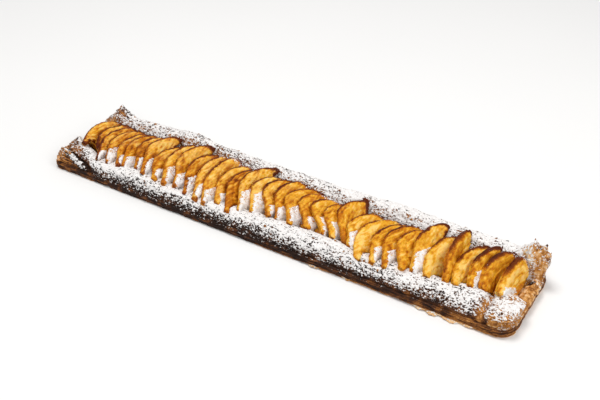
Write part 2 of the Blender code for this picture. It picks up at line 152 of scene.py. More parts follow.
def layered_noise(points, size, seed, layers):
    """Noise with finer layers on it, each half the size and half the weight of the one before."""
    total = np.zeros(len(points))
    weights = 0.0
    for layer in range(layers):
        weight = 0.5**layer
        total += weight * noise(points, np.asarray(size) / 2**layer, seed + OCTAVE_SEEDS * layer)
        weights += weight
    return total / weights


def line_noise(places, size, seed):
    """Noise along a line."""
    nothing = np.zeros(len(places))
    return noise(np.column_stack([places, nothing, nothing]), size, seed)


def even_share(values):
    """The rank of each value from 0 to 1, so that a threshold keeps an exact share of them."""
    order = np.argsort(np.argsort(values))
    return order / max(1, len(values) - 1)


# ---- meshes ----
def vectors(items, key):
    """The three numbers of every item, as one row each."""
    numbers = np.empty(len(items) * 3, np.float32)
    items.foreach_get(key, numbers)
    return numbers.reshape(-1, 3).astype(float)


def points_of(mesh):
    return vectors(mesh.vertices, "co")


def normals_of(mesh):
    return vectors(mesh.vertex_normals, "vector")


def move_points(mesh, points):
    mesh.vertices.foreach_set("co", points.astype(np.float32).ravel())
    mesh.update()


def swell(mesh, points, lift):
    """Moves the points of a mesh out along their normals, in mm."""
    move_points(mesh, points + normals_of(mesh) * lift[:, None] * MM)


def store(mesh, **values):
    """Keeps numbers at every point, for the materials to read."""
    for name, numbers in values.items():
        attribute = mesh.attributes.new(name, "FLOAT", "POINT")
        attribute.data.foreach_set("value", np.clip(numbers, 0, 1).astype(np.float32))


def add_object(name, data):
    thing = bpy.data.objects.new(name, data)
    scene.collection.objects.link(thing)
    return thing


def add_piece(name, mesh, material, node=None):
    """Makes a mesh a piece of the tart, in place of a node of the CAD if one is given."""
    mesh.materials.clear()
    mesh.materials.append(material)
    mesh.shade_smooth()
    piece = add_object(name, mesh)
    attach(piece, "root")
    if node:
        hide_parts(node)
    return piece


def mesh_from(name, points, faces):
    mesh = bpy.data.meshes.new(name)
    mesh.from_pydata([tuple(p) for p in points], [], faces)
    mesh.update()
    return mesh


@contextmanager
def editing(mesh):
    """The mesh as a model to edit, which then replaces it."""
    model = bmesh.new()
    model.from_mesh(mesh)
    yield model
    model.to_mesh(mesh)
    model.free()


def tube(rings, around):
    """The faces between closed rings of points, so many around each."""
    faces = []
    for low in range(0, (rings - 1) * around, around):
        for i in range(around):
            j = (i + 1) % around
            faces.append((low + i, low + j, low + around + j, low + around + i))
    return faces


def cut_away(mesh, place, way):
    """Keeps only what lies beyond a plane, in its way, and closes the cut."""
    with editing(mesh) as model:
        bmesh.ops.remove_doubles(model, verts=model.verts, dist=SAME_POINT)
        parts = list(model.verts) + list(model.edges) + list(model.faces)
        bmesh.ops.bisect_plane(model, geom=parts, plane_co=place, plane_no=way, clear_inner=True)
        bmesh.ops.holes_fill(model, edges=[e for e in model.edges if e.is_boundary])


def fine_mesh(mesh, spacing, softenings):
    """An even, fine and softened mesh over a closed one."""
    rough = add_object("rough", mesh)
    even = rough.modifiers.new("even", "REMESH")
    even.mode = "VOXEL"
    even.voxel_size = spacing
    soft = rough.modifiers.new("soft", "SMOOTH")
    soft.factor = SOFTENING
    soft.iterations = softenings
    depsgraph = bpy.context.evaluated_depsgraph_get()
    fine = bpy.data.meshes.new_from_object(rough.evaluated_get(depsgraph))
    bpy.data.objects.remove(rough)
    return fine


def fine_copy(node, detail):
    return fine_mesh(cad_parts[node].data.copy(), *detail)


def merge_flat(mesh, low, high):
    """Joins the small faces of a hidden flat underside between two heights into one per tile."""
    with editing(mesh) as model:
        tile_of = {}
        for face in model.faces:
            centre = face.calc_center_median()
            if face.normal.z < FLAT_NORMAL and low <= centre.z <= high:
                tile_of[face] = math.floor(centre.x / FLAT_TILE)
        edges = [e for e in model.edges if len({tile_of.get(f, f) for f in e.link_faces}) == 1]
        points = {v for f in tile_of for v in f.verts}
        bmesh.ops.dissolve_limit(model, angle_limit=FLAT_ANGLE, verts=list(points), edges=edges)
        bmesh.ops.triangulate(model, faces=[f for f in model.faces if len(f.verts) > 4])


def skin_of(mesh):
    """A search tree of a mesh, to find where a ray meets it."""
    points = [v.co for v in mesh.vertices]
    return BVHTree.FromPolygons(points, [p.vertices for p in mesh.polygons])


class Batch:
    """Several small forms gathered into one mesh, each point with its own stored values."""

    def __init__(self):
        self.points = []
        self.faces = []
        self.values = {}
        self.count = 0

    def add(self, points, faces, **values):
        self.points.append(points)
        self.faces += [tuple(i + self.count for i in face) for face in faces]
        self.count += len(points)
        for name, numbers in values.items():
            self.values.setdefault(name, []).append(np.broadcast_to(numbers, len(points)))

    def piece(self, name, material, slot):
        mesh = mesh_from(name, np.vstack(self.points), self.faces)
        with editing(mesh) as model:
            bmesh.ops.recalc_face_normals(model, faces=model.faces)
        store(mesh, **{key: np.concatenate(parts) for key, parts in self.values.items()})
        return add_piece(name, mesh, material)


# ---- node materials ----
class Nodes:
    """A small helper that builds a material's node tree. Sizes and distances are in mm."""

    def __init__(self, name):
        self.material = bpy.data.materials.new(name)
        self.material.use_nodes = True
        self.tree = self.material.node_tree
        self.shader = self.tree.nodes["Principled BSDF"]
        self.place = self.tree.nodes.new("ShaderNodeTexCoord").outputs["Object"]

    def link(self, source, socket):
        if isinstance(source, bpy.types.NodeSocket):
            self.tree.links.new(source, socket)
        else:
            socket.default_value = (*source, 1.0) if socket.type == "RGBA" else source

    def add(self, kind, inputs):
        node = self.tree.nodes.new("ShaderNode" + kind)
        for name, source in inputs.items():
            self.link(source, node.inputs[name])
        return node

    def attribute(self, name):
        node = self.add("Attribute", {})
        node.attribute_name = name
        return node.outputs["Fac"]

    def noise(self, size, detail, stretch=(1, 1, 1), distortion=0.0, roughness=0.5):
        mapping = self.add("Mapping", {"Scale": stretch, "Vector": self.place})
        return self.add("TexNoise", {
            "Scale": 1 / (size * MM), "Detail": detail, "Roughness": roughness,
            "Distortion": distortion, "Vector": mapping.outputs["Vector"]}).outputs["Fac"]

    def math(self, kind, a, b):
        node = self.add("Math", {0: a, 1: b})
        node.operation = kind
        return node.outputs[0]

    def sum(self, *values):
        total = values[0]
        for value in values[1:]:
            total = self.math("ADD", total, value)
        return total

    def fit(self, value, low, high, to_low=0.0, to_high=1.0):
        """Maps the values from low to high to those from to_low to to_high, level beyond."""
        node = self.add("MapRange", {"Value": value, "From Min": low, "From Max": high,
                                     "To Min": to_low, "To Max": to_high})
        node.clamp = True
        return node.outputs["Result"]

    def spread(self, value, low=0.0, high=1.0, reach=0.2):
        """Stretches a noise, which keeps within a reach of 0.5, to run from low to high."""
        return self.fit(value, 0.5 - reach, 0.5 + reach, low, high)

    def between(self, share, a, b):
        """A number that runs from one to the other with the share."""
        return self.fit(share, 0, 1, a, b)

    def ramp(self, value, *stops):
        node = self.add("ValToRGB", {"Fac": value})
        elements = node.color_ramp.elements
        while len(elements) < len(stops):
            elements.new(0.5)
        for element, (place, colour) in zip(elements, stops):
            element.position = place
            element.color = (*colour, 1.0)
        return node.outputs["Color"]

    def mix(self, share, a, b):
        node = self.add("Mix", {"Factor": share})
        node.data_type = "RGBA"
        for value, name in ((a, "A"), (b, "B")):
            socket = [s for s in node.inputs if s.name == name and s.type == "RGBA"][0]
            self.link(value, socket)
        return [s for s in node.outputs if s.type == "RGBA"][0]

    def bump(self, height, distance, strength, normal=None):
        inputs = {"Distance": distance * MM, "Strength": strength, "Height": height}
        if normal is not None:
            inputs["Normal"] = normal
        return self.add("Bump", inputs).outputs["Normal"]

    def finish(self, colour, roughness, normal, constants):
        self.link(colour, self.shader.inputs["Base Color"])
        self.link(roughness, self.shader.inputs["Roughness"])
        self.link(normal, self.shader.inputs["Normal"])
        for name, value in constants.items():
            self.shader.inputs[name].default_value = value
        return self.material


SUGAR_WHITE = (0.93, 0.915, 0.905)
SUGAR_SHADE = (0.76, 0.73, 0.72)
BURNT_CRUST_AND_SHADE = (0.020, 0.009, 0.006)
CRUST_DARK = (0.090, 0.030, 0.010)
CRUST_BROWN = (0.29, 0.105, 0.022)
CRUST_GOLD = (0.62, 0.29, 0.075)
CRUST_PALE = (0.86, 0.62, 0.36)
FLESH_MILK = (0.84, 0.58, 0.22)
FLESH_CREAM = (0.90, 0.60, 0.17)
FLESH_GOLD = (0.78, 0.38, 0.025)
FLESH_AMBER = (0.50, 0.155, 0.006)
FLESH_DEEP = (0.16, 0.034, 0.003)
# caramel colours; the darker two also paint shade on and between the apple slices
CARAMEL = (0.36, 0.092, 0.007)
DARK_CARAMEL_AND_SHADE = (0.21, 0.046, 0.005)
BURNT_CARAMEL_AND_SHADE = (0.088, 0.017, 0.005)

# places along the ramps of colour
CRUST_STOPS = ((0.0, CRUST_PALE), (0.28, CRUST_GOLD), (0.55, CRUST_BROWN), (0.78, CRUST_DARK),
               (0.98, BURNT_CRUST_AND_SHADE))
FLESH_STOPS = ((0.0, FLESH_CREAM), (0.30, FLESH_GOLD), (0.62, FLESH_AMBER), (0.95, FLESH_DEEP))
CARAMEL_AND_SHADE_STOPS = ((0.30, CARAMEL), (0.62, DARK_CARAMEL_AND_SHADE), (0.95, BURNT_CARAMEL_AND_SHADE))
FILLING_STOPS = ((0.0, CARAMEL), (0.35, FLESH_AMBER), (0.8, FLESH_GOLD))

# roughness
SUGAR_ROUGH = 0.92
CRUST_ROUGH = 0.5
APPLE_ROUGH = 0.34
FILLING_ROUGH = 0.35

PASTRY_GRAIN = 1.35  # mm, size of the grain that breaks up the sugar
APPLE_GRAIN = 1.05
GRAIN_LEVEL = 0.66  # share of the grain in what sugar has to cover
PIT_LEVEL = 0.34  # and of the stored pits
FLESH_DEPTH = 3 * MM  # how deep light goes into bare apple
FLESH_DEPTH_BY_COLOUR = (1.0, 0.40, 0.10)


def sugar_mask(nodes, size, softness):
    """Where sugar lies: the stored coverage against the stored pits, broken up by a finer grain."""
    grain = nodes.noise(size, 2.0, (0.75, 1, 1), roughness=0.6)
    grain = nodes.spread(grain, 0.0, GRAIN_LEVEL, reach=0.17)
    level = nodes.sum(nodes.math("MULTIPLY", nodes.attribute("pit"), PIT_LEVEL), grain)
    return nodes.fit(nodes.math("SUBTRACT", nodes.attribute("sugar"), level), -softness, softness)


def sugar_colour(nodes, size=2.0, reach=0.15):
    """White sugar, faintly shaded."""
    shade = nodes.spread(nodes.noise(size, 3.0), reach=reach)
    return nodes.mix(shade, SUGAR_SHADE, SUGAR_WHITE)


def crust_colour(nodes):
    """Baked pastry from pale to burnt, by the stored browning, which holds painted shade and light
    on the leaves and in the pits, and a drifting unevenness.
    """
    drift = nodes.spread(nodes.noise(8, 3.0, roughness=0.6), -0.20, 0.20)
    grain = nodes.spread(nodes.noise(0.9, 3.0, roughness=0.7), -0.16, 0.16)
    return nodes.ramp(nodes.sum(nodes.attribute("brown"), drift, grain), *CRUST_STOPS)


def pastry_material():
    """Sugared puff pastry: white sugar over brown crust."""
    nodes = Nodes("pastry")
    cover = sugar_mask(nodes, PASTRY_GRAIN, softness=0.05)
    colour = nodes.mix(cover, crust_colour(nodes), sugar_colour(nodes))
    grain = nodes.noise(0.45, 3.0, roughness=0.7)
    normal = nodes.bump(grain, 0.22, 0.5)
    normal = nodes.bump(cover, 0.35, 0.8, normal)
    roughness = nodes.between(cover, CRUST_ROUGH, SUGAR_ROUGH)
    return nodes.finish(colour, roughness, normal, {"Specular IOR Level": 0.12})


def flesh_colour(nodes):
    """Baked apple from cream to deep brown, by the stored tone, which holds painted shade, with
    milky parts.
    """
    blotch = nodes.noise(7, 3.0, roughness=0.55)
    fibre = nodes.noise(1.9, 2.0, (1.0, 0.35, 0.6), 0.3)
    level = nodes.sum(nodes.attribute("tone"), nodes.spread(blotch, -0.20, 0.20, reach=0.18),
                      nodes.spread(fibre, -0.11, 0.11))
    return nodes.mix(nodes.attribute("pale"), nodes.ramp(level, *FLESH_STOPS), FLESH_MILK)


def apple_material():
    """Glazed baked apple: golden flesh, caramelised edges, painted shade on and between the slices,
    sugared ends.
    """
    nodes = Nodes("apple")
    ragged = nodes.spread(nodes.noise(1.3, 4.0, roughness=0.65), -0.22, 0.22)
    # caramelised edges together with painted shade on and between the slices
    caramel_and_shade_level = nodes.sum(nodes.attribute("caramel"), ragged)
    edge = nodes.ramp(caramel_and_shade_level, *CARAMEL_AND_SHADE_STOPS)
    colour = nodes.mix(nodes.fit(caramel_and_shade_level, 0.28, 0.60), flesh_colour(nodes), edge)
    cover = sugar_mask(nodes, APPLE_GRAIN, softness=0.06)
    colour = nodes.mix(cover, colour, sugar_colour(nodes))
    wrinkle = nodes.noise(2.2, 3.0, (1.0, 0.45, 0.6), 0.4)
    normal = nodes.bump(wrinkle, 0.5, 0.45)
    normal = nodes.bump(cover, 0.3, 0.7, normal)
    roughness = nodes.between(cover, APPLE_ROUGH, SUGAR_ROUGH)
    nodes.link(nodes.between(cover, 0.35, 0.0), nodes.shader.inputs["Subsurface Weight"])
    return nodes.finish(colour, roughness, normal, {
        "Specular IOR Level": 0.07, "Subsurface Scale": FLESH_DEPTH,
        "Subsurface Radius": FLESH_DEPTH_BY_COLOUR})


def filling_material():
    """Thick apple filling, glossy and uneven."""
    nodes = Nodes("filling")
    lump = nodes.spread(nodes.noise(4, 4.0, roughness=0.6))
    cover = sugar_mask(nodes, APPLE_GRAIN, softness=0.06)
    colour = nodes.mix(cover, nodes.ramp(lump, *FILLING_STOPS), SUGAR_WHITE)
    normal = nodes.bump(nodes.noise(2, 3.0), 0.6, 0.6)
    roughness = nodes.between(cover, FILLING_ROUGH, SUGAR_ROUGH)
    return nodes.finish(colour, roughness, normal, {"Specular IOR Level": 0.3})


def sugar_material():
    """Loose clumps of icing sugar."""
    nodes = Nodes("sugar")
    colour = sugar_colour(nodes, 1.5, reach=0.2)
    normal = nodes.bump(nodes.noise(0.3, 2.0), 0.15, 0.6)
    return nodes.finish(colour, 0.95, normal, {"Specular IOR Level": 0.2})


# ---- pastry base ----
LEFT_RADIUS = 7.0 * MM
RIGHT_RADIUS = 16.0 * MM
OUTLINE_STEP = 1.2 * MM
SIDE_ROWS = 28  # rows of points up the side
TOP_INSET = 4.0 * MM  # how far the hidden top and underside reach in as a ring
LEAF = 1.3 * MM  # thickness of one baked leaf of the pastry
LEAF_LENGTH = 11 * MM  # along the side, before a leaf steps in or out
LEAVES_APART = 7.3  # keeps the steps of neighbouring leaves unlike each other
FINER = 3.7  # how much finer the small steps are
SIDE_CRACK = 0.7 * MM  # how deep the cracks between the leaves are
SIDE_OUT = 0.1 * MM
FOOT_ROUND = (0.7 * MM, 0.3)  # how far the foot is rounded in, and up to what share
SHOULDER_ROUND = (0.9 * MM, 0.6)  # and the shoulder, from what share
# the leaves share is the side's painted shade in cracks and painted light on jutting leaves
BASE_BROWN = {
    "all": 0.94, "right": -0.10, "end": -0.20, "left": -0.22, "leaves": 1.0, "uneven": 0.10,
    "foot": -0.10, "right_foot": -0.35}

LIP_START = 15 * MM  # from the right end
LIP_ROOT = 2 * MM  # how far the lip's own piece reaches down into the base
LIP_RELIEF = {"all": 0.2, "bubbles": 1.2, "creases": 1.6}  # mm
LIP_BROWN = {"all": 0.46, "bubbles": -0.40, "creases": -0.50, "spot": 1.0}
LIP_SPOT = (0.262, 0.020)
LIP_SPOT_SIZE = (3.4 * MM, 2.6 * MM)
LIP_SUGAR = 0.34


def outline():
    """The base's rounded outline, counter-clockwise: points, outward normals and lengths along."""
    corners = ((RIGHT, FRONT, RIGHT_RADIUS, -90), (RIGHT, BACK, RIGHT_RADIUS, 0),
               (LEFT, BACK, LEFT_RADIUS, 90), (LEFT, FRONT, LEFT_RADIUS, 180))
    points = []
    for x, y, radius, start in corners:
        centre = (x - math.copysign(radius, x), y - math.copysign(radius, y))
        steps = max(4, round(radius * math.pi / 2 / OUTLINE_STEP))
        for i in range(steps + 1):
            angle = math.radians(start + 90 * i / steps)
            way = (math.cos(angle), math.sin(angle))
            points.append((centre[0] + radius * way[0], centre[1] + radius * way[1], *way))
    filled = []
    for here, there in zip(points, points[1:] + points[:1]):
        count = max(1, round(math.hypot(there[0] - here[0], there[1] - here[1]) / OUTLINE_STEP))
        for i in range(count):
            filled.append([a + (b - a) * (i / count) for a, b in zip(here, there)])
    table = np.array(filled)
    steps = np.hypot(*np.diff(np.vstack([table[:, :2], table[:1, :2]]), axis=0).T)
    return table[:, :2], table[:, 2:], np.concatenate([[0], np.cumsum(steps)[:-1]])


def side_rings(arc):
    """The rows up the base's side: height, how far each point juts out, and its extra colour:
    painted shade in the cracks between leaves, painted light where a leaf juts out.
    """
    wave = 0.9 * MM * line_noise(arc, 24, 3) + 0.35 * MM * line_noise(arc, 7, 4)
    foot, foot_top = FOOT_ROUND
    shoulder, shoulder_start = SHOULDER_ROUND
    for share in np.linspace(0, 1, SIDE_ROWS):
        z = share * BASE_TOP
        leaf_number = (z + wave) / LEAF
        where = np.column_stack([arc / LEAF_LENGTH, np.floor(leaf_number) * LEAVES_APART,
                                 np.zeros(len(arc))]) * MM
        steps = noise(where, 1, 5)
        jut = 0.75 * MM * steps + 0.35 * MM * noise(where * FINER, 1, 6)
        crack = (np.abs(leaf_number % 1.0 - 0.5) * 2) ** 5
        rounding = foot * max(0.0, 1 - share / foot_top) ** 2
        rounding += shoulder * max(0.0, (share - shoulder_start) / (1 - shoulder_start)) ** 2
        out = jut - SIDE_CRACK * crack - rounding + SIDE_OUT
        # painted shade in the cracks, painted light where a leaf juts out
        yield z, out, 0.45 * crack - 0.20 * steps


def build_base(material):
    """The base with the ragged edges of its baked leaves round the side."""
    xy, normal, arc = outline()
    count = len(xy)
    nothing = np.zeros(count)
    inset = np.full(count, -TOP_INSET)
    rows = [(0.0, inset, nothing), *side_rings(arc), (BASE_TOP, inset, nothing)]
    rings = [np.column_stack([xy + normal * out[:, None], np.full(count, z)]) for z, out, _ in rows]
    faces = tube(len(rings), count)
    faces.append(tuple(range(count))[::-1])
    faces.append(tuple((len(rings) - 1) * count + i for i in range(count)))
    points = np.vstack(rings)
    mesh = mesh_from("pastry_base", points, faces)
    x, y, z = points.T
    right = slope(x, -40, 190)
    foot = smooth(0.35, 0.1, z / BASE_TOP)
    brown = weigh(
        BASE_BROWN, right=right, end=slope(x, 160, 230), left=slope(x - LEFT, 90, 10),
        leaves=np.concatenate([tone for _, _, tone in rows]), uneven=noise(points, 12, 9),
        foot=foot, right_foot=right * foot)
    pit = even_share(noise(points, (2.2, 1.6, 1.6), 11))
    high = slope(z + 1.3 * MM * noise(points, 5, 12), 4.6, 7.4)
    in_front = slope(y, 0, -20) * slope(x - LEFT, 45, 60) * slope(RIGHT - x, 35, 50)
    store(mesh, brown=brown, sugar=(0.24 - 0.16 * right) * high * in_front, pit=pit)
    return add_piece("base", mesh, material, "pastry_base")


def build_lip(material):
    """The bare raised lip across the right end: bubbly orange crust with one burnt spot."""
    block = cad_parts["pastry_base"].data.copy()
    cut_away(block, (RIGHT - LIP_START, 0, 0), (1, 0, 0))
    cut_away(block, (0, 0, BASE_TOP - LIP_ROOT), (0, 0, 1))
    mesh = fine_mesh(block, *LIP_DETAIL)
    points = points_of(mesh)
    bubbles = layered_noise(points, 3.4, 81, 2)
    creases = np.abs(noise(points, 2.0, 83))
    lift = weigh(LIP_RELIEF, bubbles=bubbles, creases=creases)
    lift *= slope(points[:, 2] - BASE_TOP, -1, 1.5)
    swell(mesh, points, lift)
    spot = np.hypot(*((points[:, :2] - LIP_SPOT) / LIP_SPOT_SIZE).T)
    brown = weigh(LIP_BROWN, bubbles=bubbles, creases=creases, spot=smooth(1.25, 0.7, spot))
    sugar = LIP_SUGAR * slope(np.abs(points[:, 1] + 4 * MM), 12, 24)
    store(mesh, brown=brown, sugar=sugar, pit=even_share(-bubbles))
    add_piece("lip", mesh, material)


# ---- pastry strips ----
FRONT_SEED = 40
BACK_SEED = 60
STRIP_RELIEF = {
    "all": -0.2, "blisters": 0.9, "folds": 0.8, "bubbles": 0.45, "cracks": -0.55,
    "block_cracks": -0.6}  # mm
STRIP_PITS = {"bubbles": -1.0, "folds": -0.5, "cracks": 0.5}

# the open left end of the front strip: lines seen from above, in mm
CREVICE = ((-271, -36), (-222, -51))
FLAP_END = ((-269, -17), (-216, -50))
END_RELIEF = {"lip": 1.3, "groove": -2.4, "rough": 1.2, "second": -0.9}  # mm

# the front strip's block at the right end
BLOCK_HEIGHT = 13.5 * MM
BLOCK_POWER = 0.32  # less makes its sides steeper
BLOCK_CENTRE = (13 * MM, 19 * MM)  # from the right end and from the front
BLOCK_SQUARE = 0.55  # 0 keeps it round, 1 makes it square

# the thick white patches there: centre and half size seen from above in mm, skew, strength
WHITE_PATCHES = (((259.5, -30.0), (8.2, 7.2), 0.15, 1.0), ((243.0, -22.5), (9.0, 7.5), 0.25, 0.7))

# what adds to the sugar and to the browning of the strips; the browning's pit and cracks shares are
# painted shade
FRONT_SUGAR = {
    "all": 0.75, "uneven": 0.13, "steep": -0.20, "low": -0.24, "foot": -1.0, "fan": -0.13,
    "valley": -0.46, "block": -0.16, "right": -0.06, "patches": 0.24, "lip": 0.10, "side": -0.50,
    "groove": -1.0, "second": -0.26}
# painted shade: the front strip browner in its pits and side cracks
FRONT_BROWN = {
    "all": 0.88, "pit": 0.16, "right": -0.14, "valley": -0.40, "fan": -0.10, "block": -0.24,
    "cracks": 0.60, "sides": -0.38, "groove": 0.40, "second": -0.20}
BACK_SUGAR = {
    "all": 0.73, "uneven": 0.24, "right": 0.03, "inward": -0.15, "low": -0.10, "foot": -1.0,
    "left_gap": -0.16, "middle_gap": -0.08, "ear": -0.20, "crown": -0.04, "columns": 0.10,
    "outer": -0.34}
# painted shade: the back strip browner in its pits
BACK_BROWN = {
    "all": 0.80, "pit": 0.16, "ear": -0.10, "crown": -0.40, "inward": -0.20, "bare": -0.15,
    "columns": -0.25}
CROWN_RELIEF = 1.3  # mm


def leaf_lines(points, seed):
    """The cracks between the baked leaves of the dough, level and wavering: 1 in a crack. The front
    strip's sides are painted darker there, as painted shade.
    """
    wave = 1.2 * MM * noise(points, 15, seed + 4) + 0.4 * MM * noise(points, 5, seed + 5)
    return (np.abs(((points[:, 2] + wave) / (1.6 * LEAF)) % 1.0 - 0.5) * 2) ** 3


def blister(mesh, seed):
    """Pushes the skin of the puffed pastry in and out, and ranks how deep each point lies."""
    points = points_of(mesh)
    x, y, z = points.T
    blisters = layered_noise(points, (15, 9, 9), seed, 2)
    folds = np.abs(noise(points, (6.0, 3.2, 3.2), seed + 1))
    bubbles = noise(points, (2.4, 1.5, 1.5), seed + 2)
    cracks = smooth(0.75, 0.35, np.abs(normals_of(mesh)[:, 2])) * leaf_lines(points, seed)
    block = slope(RIGHT - x, 26, 22) * slope(y, 0, -2)
    lift = weigh(
        STRIP_RELIEF, blisters=blisters, folds=folds, bubbles=bubbles, cracks=cracks,
        block_cracks=block * cracks)
    lift *= slope(z - BASE_TOP, 0, 1.5)
    swell(mesh, points, lift)
    return even_share(weigh(STRIP_PITS, bubbles=bubbles, folds=folds, cracks=cracks))


def beyond(points, line):
    """How far behind a line, seen from above, each point lies."""
    (x0, y0), (x1, y1) = np.array(line) * MM
    across = (x1 - x0) * (points[:, 1] - y0) - (y1 - y0) * (points[:, 0] - x0)
    return across / math.hypot(x1 - x0, y1 - y0)


def open_end(mesh):
    """Parts the front strip's left end into an outer flap, a dark crevice and a rough second
    layer, and tells where they are."""
    points = points_of(mesh)
    near = slope(points[:, 0] - LEFT, 58, 46)
    ragged = 0.8 * MM * noise(points, 4, 45)
    crevice = beyond(points, CREVICE) + ragged
    lip = slope(crevice, -5, -1) * slope(crevice, 1, -0.5)
    groove = bump_at(crevice, 1.3 * MM, 1.1 * MM)
    flap_end = beyond(points, FLAP_END) + ragged
    second = slope(crevice, 0, 1.5) * slope(flap_end, 1, -1)
    rough = layered_noise(points, 2.6, 47, 2)
    lift = near * weigh(END_RELIEF, lip=lip, groove=groove, rough=second * rough, second=second)
    lift *= slope(points[:, 2] - BASE_TOP, 0, 2)
    swell(mesh, points, lift)
    return near * lip, near * groove, near * second


def flatten_block(points):
    """Makes the front strip's right end a flat-topped block with steep sides, not a dome."""
    here = slope(RIGHT - points[:, 0], 30, 25)
    share = np.clip((points[:, 2] - BASE_TOP) / BLOCK_HEIGHT, 0, 1)
    raised = share**BLOCK_POWER - share
    points[:, 2] += here * BLOCK_HEIGHT * raised * smooth(0.02, 0.18, share)
    away = points[:, :2] - (RIGHT - BLOCK_CENTRE[0], FRONT + BLOCK_CENTRE[1])
    squarer = np.hypot(*away.T) / np.maximum(np.abs(away).max(1), SAME_POINT)
    within = here * slope(points[:, 1], -12, -15) * smooth(0.05, 0.5, share)
    points[:, :2] += away * ((squarer - 1) * BLOCK_SQUARE * within)[:, None]


def raise_back_edge(points):
    """Lifts the back of the front strip unevenly, up to the front ends of the slices."""
    x, y, z = points.T
    row = slope(x - LEFT, 38, 50) * slope(RIGHT - x, 30, 38)
    height = 2.6 + 1.2 * layered_noise(points * (1, 1, 0), 12, 39, 2)
    behind = slope(y - FRONT, 1, 9) * slope(z - BASE_TOP, 1, 5)
    points[:, 2] += row * height * MM * behind


def white_patches(points):
    """Where sugar lies thick in slanted rectangles, with uneven edges."""
    x, y, _ = points.T / MM
    uneven = 0.12 * noise(points, 3, 75)
    total = 0.0
    for (patch_x, patch_y), (half_x, half_y), skew, strength in WHITE_PATCHES:
        along = x - patch_x
        across = y - patch_y - skew * along
        square = np.maximum(np.abs(along) / half_x, np.abs(across) / half_y)
        total = total + strength * smooth(1.10, 0.92, square + uneven)
    return total


def finish_strip(side, mesh, material):
    merge_flat(mesh, BASE_TOP - MM, BASE_TOP + MM)
    return add_piece(f"strip_{side}", mesh, material, f"pastry_strip_{side}")


def build_front(material):
    """The front strip: a row of blisters, an open fan at its left end and a block at its right."""
    mesh = fine_copy("pastry_strip_front", STRIP_DETAIL)
    points = points_of(mesh)
    flatten_block(points)
    raise_back_edge(points)
    move_points(mesh, points)
    pit = blister(mesh, FRONT_SEED)
    lip, groove, second = open_end(mesh)
    points = points_of(mesh)
    normals = normals_of(mesh)
    x, _, z = points.T
    outward = smooth(0.0, 0.6, -normals[:, 1])
    right = slope(x, 80, 180)
    block = slope(RIGHT - x, 25, 21)
    fan_side = BASE_TOP + 9 * MM * slope(x - LEFT, 48, 8)
    side = np.maximum(slope(z - fan_side, 0.8, -0.8) * slope(x - LEFT, 52, 40),
                      block * slope(z - BASE_TOP, 4, 1))
    sides = side + 0.5 * block
    fields = {
        "pit": pit, "right": right, "block": block, "fan": slope(x - LEFT, 50, 10),
        "valley": bump_at(x + 1.5 * MM * noise(points, 6, 77), RIGHT - 31 * MM, 4.5 * MM),
        "uneven": layered_noise(points, (16, 7, 9), 71, 2),
        "steep": outward * smooth(0.95, 0.45, normals[:, 2]), "low": outward * slope(z, 17, 10),
        "foot": outward * slope(z - 2 * MM * right - BASE_TOP, 1.3, 0.5),
        "patches": white_patches(points) * smooth(0.2, 0.5, normals[:, 2]),
        "side": side, "sides": sides, "cracks": sides * leaf_lines(points, FRONT_SEED),
        "lip": lip, "groove": groove, "second": second}
    store(mesh, sugar=weigh(FRONT_SUGAR, **fields), pit=pit, brown=weigh(FRONT_BROWN, **fields))
    return finish_strip("front", mesh, material)


def build_back(material):
    """The back strip, with an upright ear at its left end and a ragged crown at its right."""
    mesh = fine_copy("pastry_strip_back", STRIP_DETAIL)
    pit = blister(mesh, BACK_SEED)
    points = points_of(mesh)
    normals = normals_of(mesh)
    x, _, z = points.T
    crown = slope(RIGHT - x, 33, 27)
    columns = crown * layered_noise(points, (1.8, 1.8, 8), 65, 2)
    swell(mesh, points, CROWN_RELIEF * columns * slope(z - BASE_TOP, 0, 3))
    uneven = layered_noise(points, (14, 9, 9), 73, 2)
    inward = smooth(0.1, 0.7, -normals[:, 1])
    fields = {
        "pit": pit, "uneven": uneven, "right": slope(x, -10, 60), "ear": slope(x - LEFT, 48, 30),
        "inward": inward, "low": inward * slope(z, 30, 20),
        "bare": inward * smooth(0.1, -0.3, uneven),
        "foot": slope(z - BASE_TOP, 4, 1.5) * smooth(0.0, 0.6, normals[:, 1]),
        "left_gap": bump_at(x, -10 * CM, 4.5 * CM), "middle_gap": bump_at(x, 3 * CM, 3 * CM),
        "crown": crown, "columns": columns,
        "outer": crown * slope(RIGHT - x - 0.25 * (z - BASE_TOP), 9, 3)}
    store(mesh, sugar=weigh(BACK_SUGAR, **fields), pit=pit, brown=weigh(BACK_BROWN, **fields))
    return finish_strip("back", mesh, material)


# ---- thin leaves of crust ----
LEAF_ROWS = 5  # rows of points from a leaf's root to its free edge
LEAF_SPACING = 1.1 * MM  # of the points along its root
LEAF_RAGGED = 0.3  # how much the free edge wanders
LEAF_ROOT = 1.0 * MM  # how deep it sits in the crust
LEAF_ROUGH = 0.25 * MM
LEAST_POINTS = 6
RAY_START = 20 * MM
RAY_REACH = 45 * MM

# leaves at the front corners: height, from and to past the corner, and how far out, in mm
LEFT_LEAVES = ((9.8, -33, 9, 3.6), (12.6, -31, 7, 3.0), (15.4, -26, 5, 3.8), (18.2, -20, 3, 3.0))
RIGHT_LEAVES = ((10.0, -12, 26, 1.2), (12.6, -10, 23, 1.5), (15.2, -8, 20, 1.2),
                (17.6, -6, 17, 1.4))
# pale flakes under the front edge: from and to (along the tart), and how far out, in mm
FLAKES = ((64, 76, 1.8), (100, 111, 2.2), (176, 190, 2.0), (187, 206, 3.0), (205, 222, 2.6),
          (224, 236, 1.6))
FLAKE_HEIGHT = 1.7 * MM
FLAKE_THICK = 0.7 * MM
FLAKE_DROOP = 0.9 * MM
# first seed, browning and sugar
LEFT_LOOK = (200, 0.36, 0.30)
RIGHT_LOOK = (230, 0.30, 0.34)
FLAKE_LOOK = (260, 0.08, 0.34)


